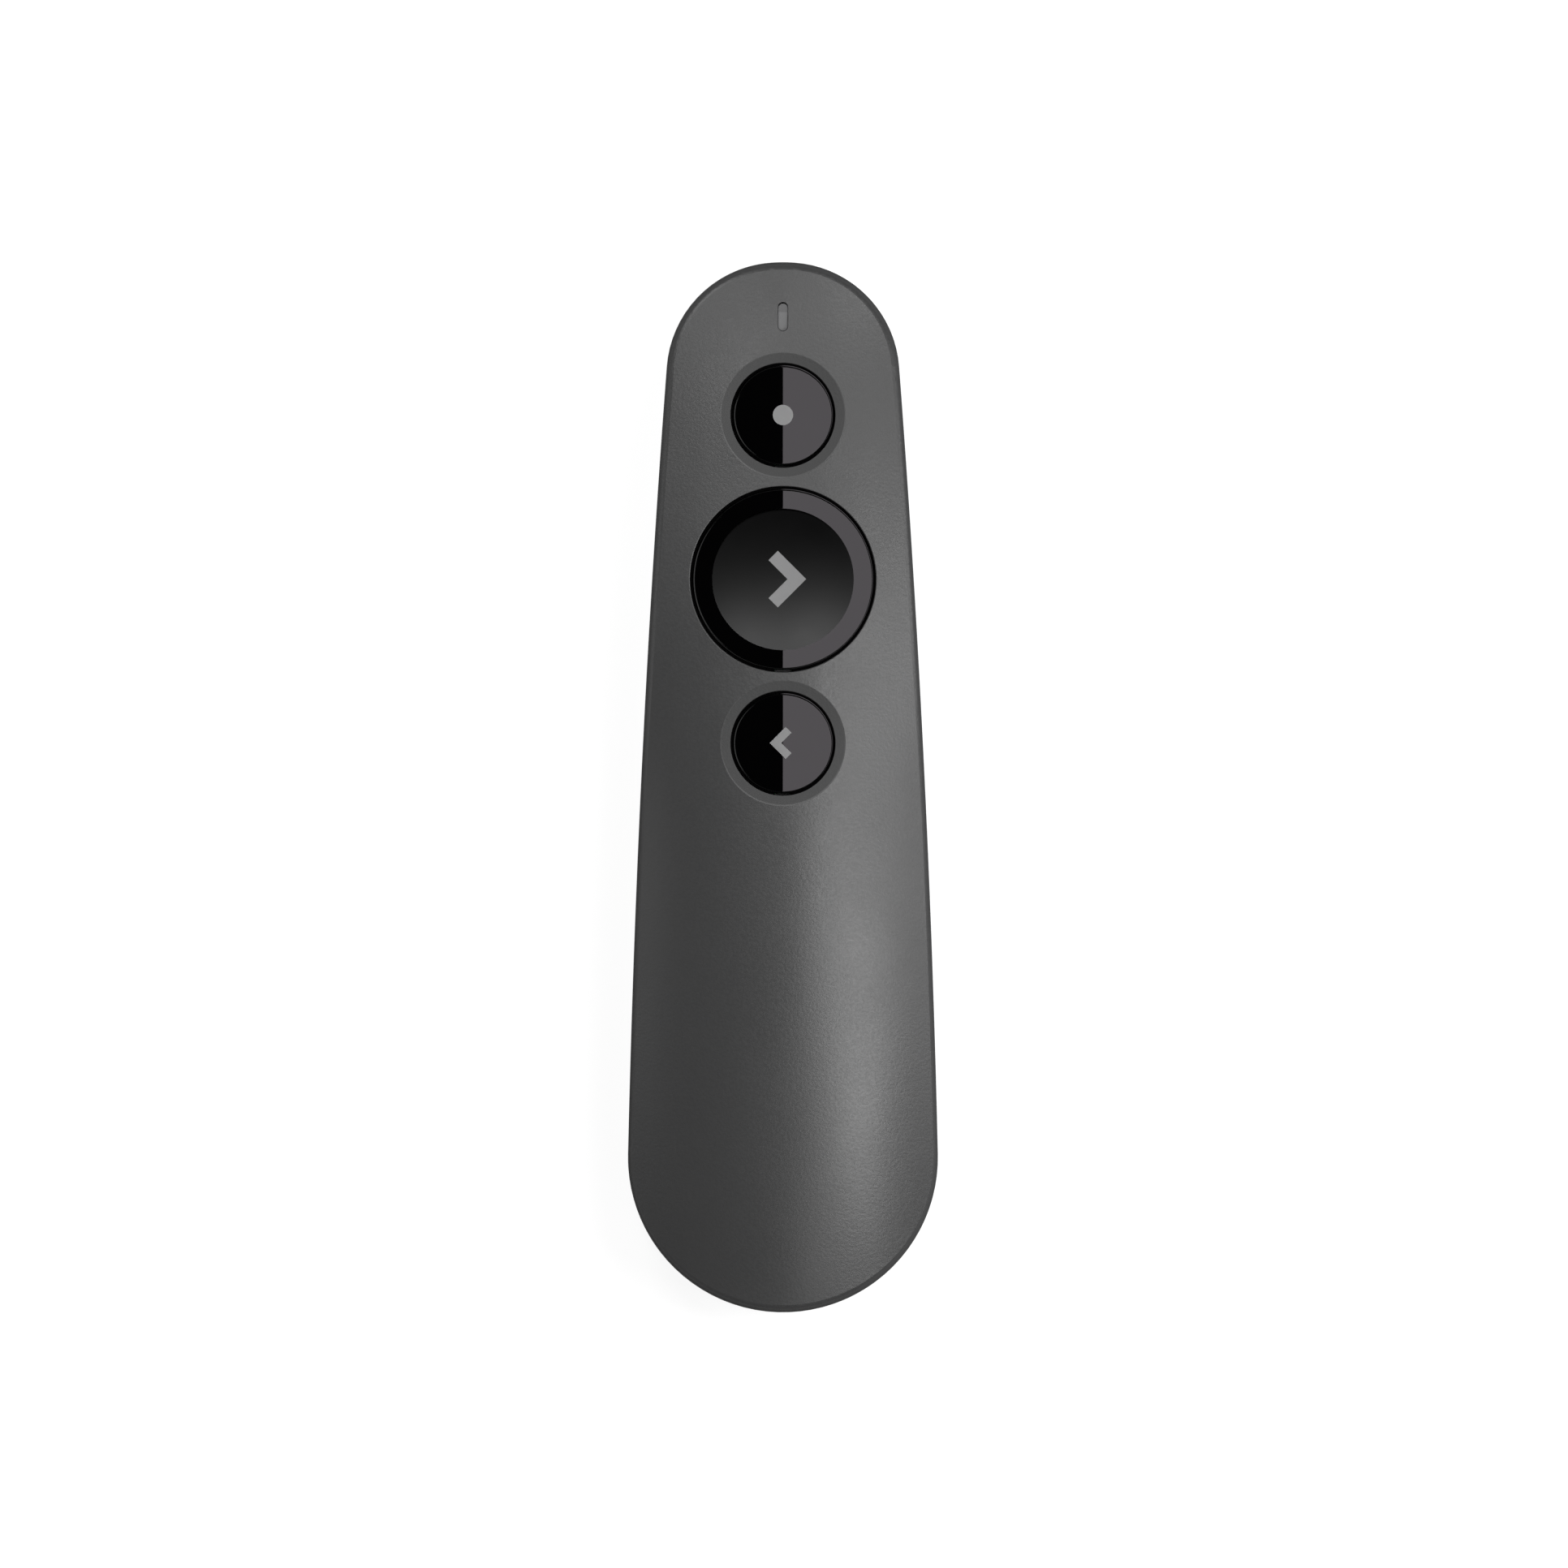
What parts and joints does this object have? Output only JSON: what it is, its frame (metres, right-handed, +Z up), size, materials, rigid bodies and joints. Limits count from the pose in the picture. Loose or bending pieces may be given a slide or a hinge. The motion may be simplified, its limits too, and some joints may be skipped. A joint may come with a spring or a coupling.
{
  "type": "wireless presentation clicker",
  "caption": "Hand-held wireless presentation clicker: long tapered grey case, round press buttons, nose laser, battery door underneath and a USB receiver docked in the tail",
  "frame": {"origin": "on the flat of the underside, below the middle of the length and the width, with the clicker lying on its back", "axes": "X to the right seen from above, Y from the tail to the laser's nose, Z up out of the button face"},
  "size_m": [0.0388, 0.1312, 0.0268],
  "materials": {
    "soft_touch_plastic": "soft-touch, fine grain",
    "black_gloss_plastic": "polished",
    "satin_black_plastic": "satin",
    "inner_plastic": "moulded",
    "clear_plastic": "frosted clear",
    "board_green": "solder mask",
    "chip_black": "moulded epoxy",
    "switch_black": "moulded",
    "stem_plastic": "moulded",
    "sheet_steel": "plain",
    "nickel_plate": "nickel plated",
    "gold_plate": "gold plated",
    "brass_tube": "turned",
    "lens_glass": "clear",
    "cell_jacket": "printed jacket",
    "wire_red": "insulation",
    "ceramic_white": "fired",
    "led_yellow": "clear"
  },
  "bodies": {
    "case": {"top_shell": "soft_touch_plastic", "bottom_shell": "soft_touch_plastic", "laser_window": "lens_glass", "led_light_pipe": "clear_plastic", "status_led": "led_yellow", "laser_switch": "switch_black", "next_switch": "switch_black", "back_switch": "switch_black", "switch_covers": "sheet_steel", "main_board": "board_green", "radio_chip": "chip_black", "clock_crystal": "sheet_steel", "chip_antenna": "ceramic_white", "boost_inductor": "chip_black", "board_passives": "ceramic_white", "laser_barrel": "brass_tube", "laser_lens": "lens_glass", "laser_diode": "gold_plate", "laser_board": "board_green", "laser_leads": "wire_red", "battery_left": "cell_jacket", "battery_right": "cell_jacket", "positive_contact": "nickel_plate", "negative_contact": "nickel_plate", "negative_spring": "nickel_plate", "bridge_contact": "nickel_plate", "bridge_spring": "nickel_plate", "case_screws": "sheet_steel", "board_screws": "sheet_steel"},
    "laser_button_body": {"laser_button": "black_gloss_plastic", "laser_plunger": "stem_plastic"},
    "next_button_body": {"next_button": "black_gloss_plastic", "next_button_pad": "satin_black_plastic", "next_plunger": "stem_plastic"},
    "back_button_body": {"back_button": "black_gloss_plastic", "back_plunger": "stem_plastic"},
    "door": {"battery_door": "soft_touch_plastic"},
    "latch": {"door_latch": "soft_touch_plastic"},
    "receiver": {"receiver_housing": "inner_plastic", "receiver_plug_shell": "nickel_plate", "receiver_board": "inner_plastic", "receiver_contacts": "gold_plate"}
  },
  "joints": [
    {"name": "laser_button_press", "type": "slide", "parent": "case", "child": "laser_button_body", "axis": [0, 0, -1], "range_m": [0, 0.0005], "stiffness_N_per_m": 400, "springref_m": -0.002},
    {"name": "next_button_press", "type": "slide", "parent": "case", "child": "next_button_body", "axis": [0, 0, -1], "range_m": [0, 0.0005], "stiffness_N_per_m": 400, "springref_m": -0.002},
    {"name": "back_button_press", "type": "slide", "parent": "case", "child": "back_button_body", "axis": [0, 0, -1], "range_m": [0, 0.0005], "stiffness_N_per_m": 400, "springref_m": -0.002},
    {"name": "battery_door_swing", "type": "hinge", "parent": "case", "child": "door", "pos_m": [0, -0.05098, 0], "axis": [-1, 0, 0], "range_deg": [0, 40], "deforming": ["door_latch"]},
    {"name": "door_latch_press", "type": "slide", "parent": "door", "child": "latch", "axis": [0, -1, 0], "range_m": [0, 0.0009], "stiffness_N_per_m": 400, "springref_m": -0.0015},
    {"name": "receiver_slide", "type": "slide", "parent": "case", "child": "receiver", "axis": [0, -1, 0], "range_m": [0, 0.022]}
  ]
}
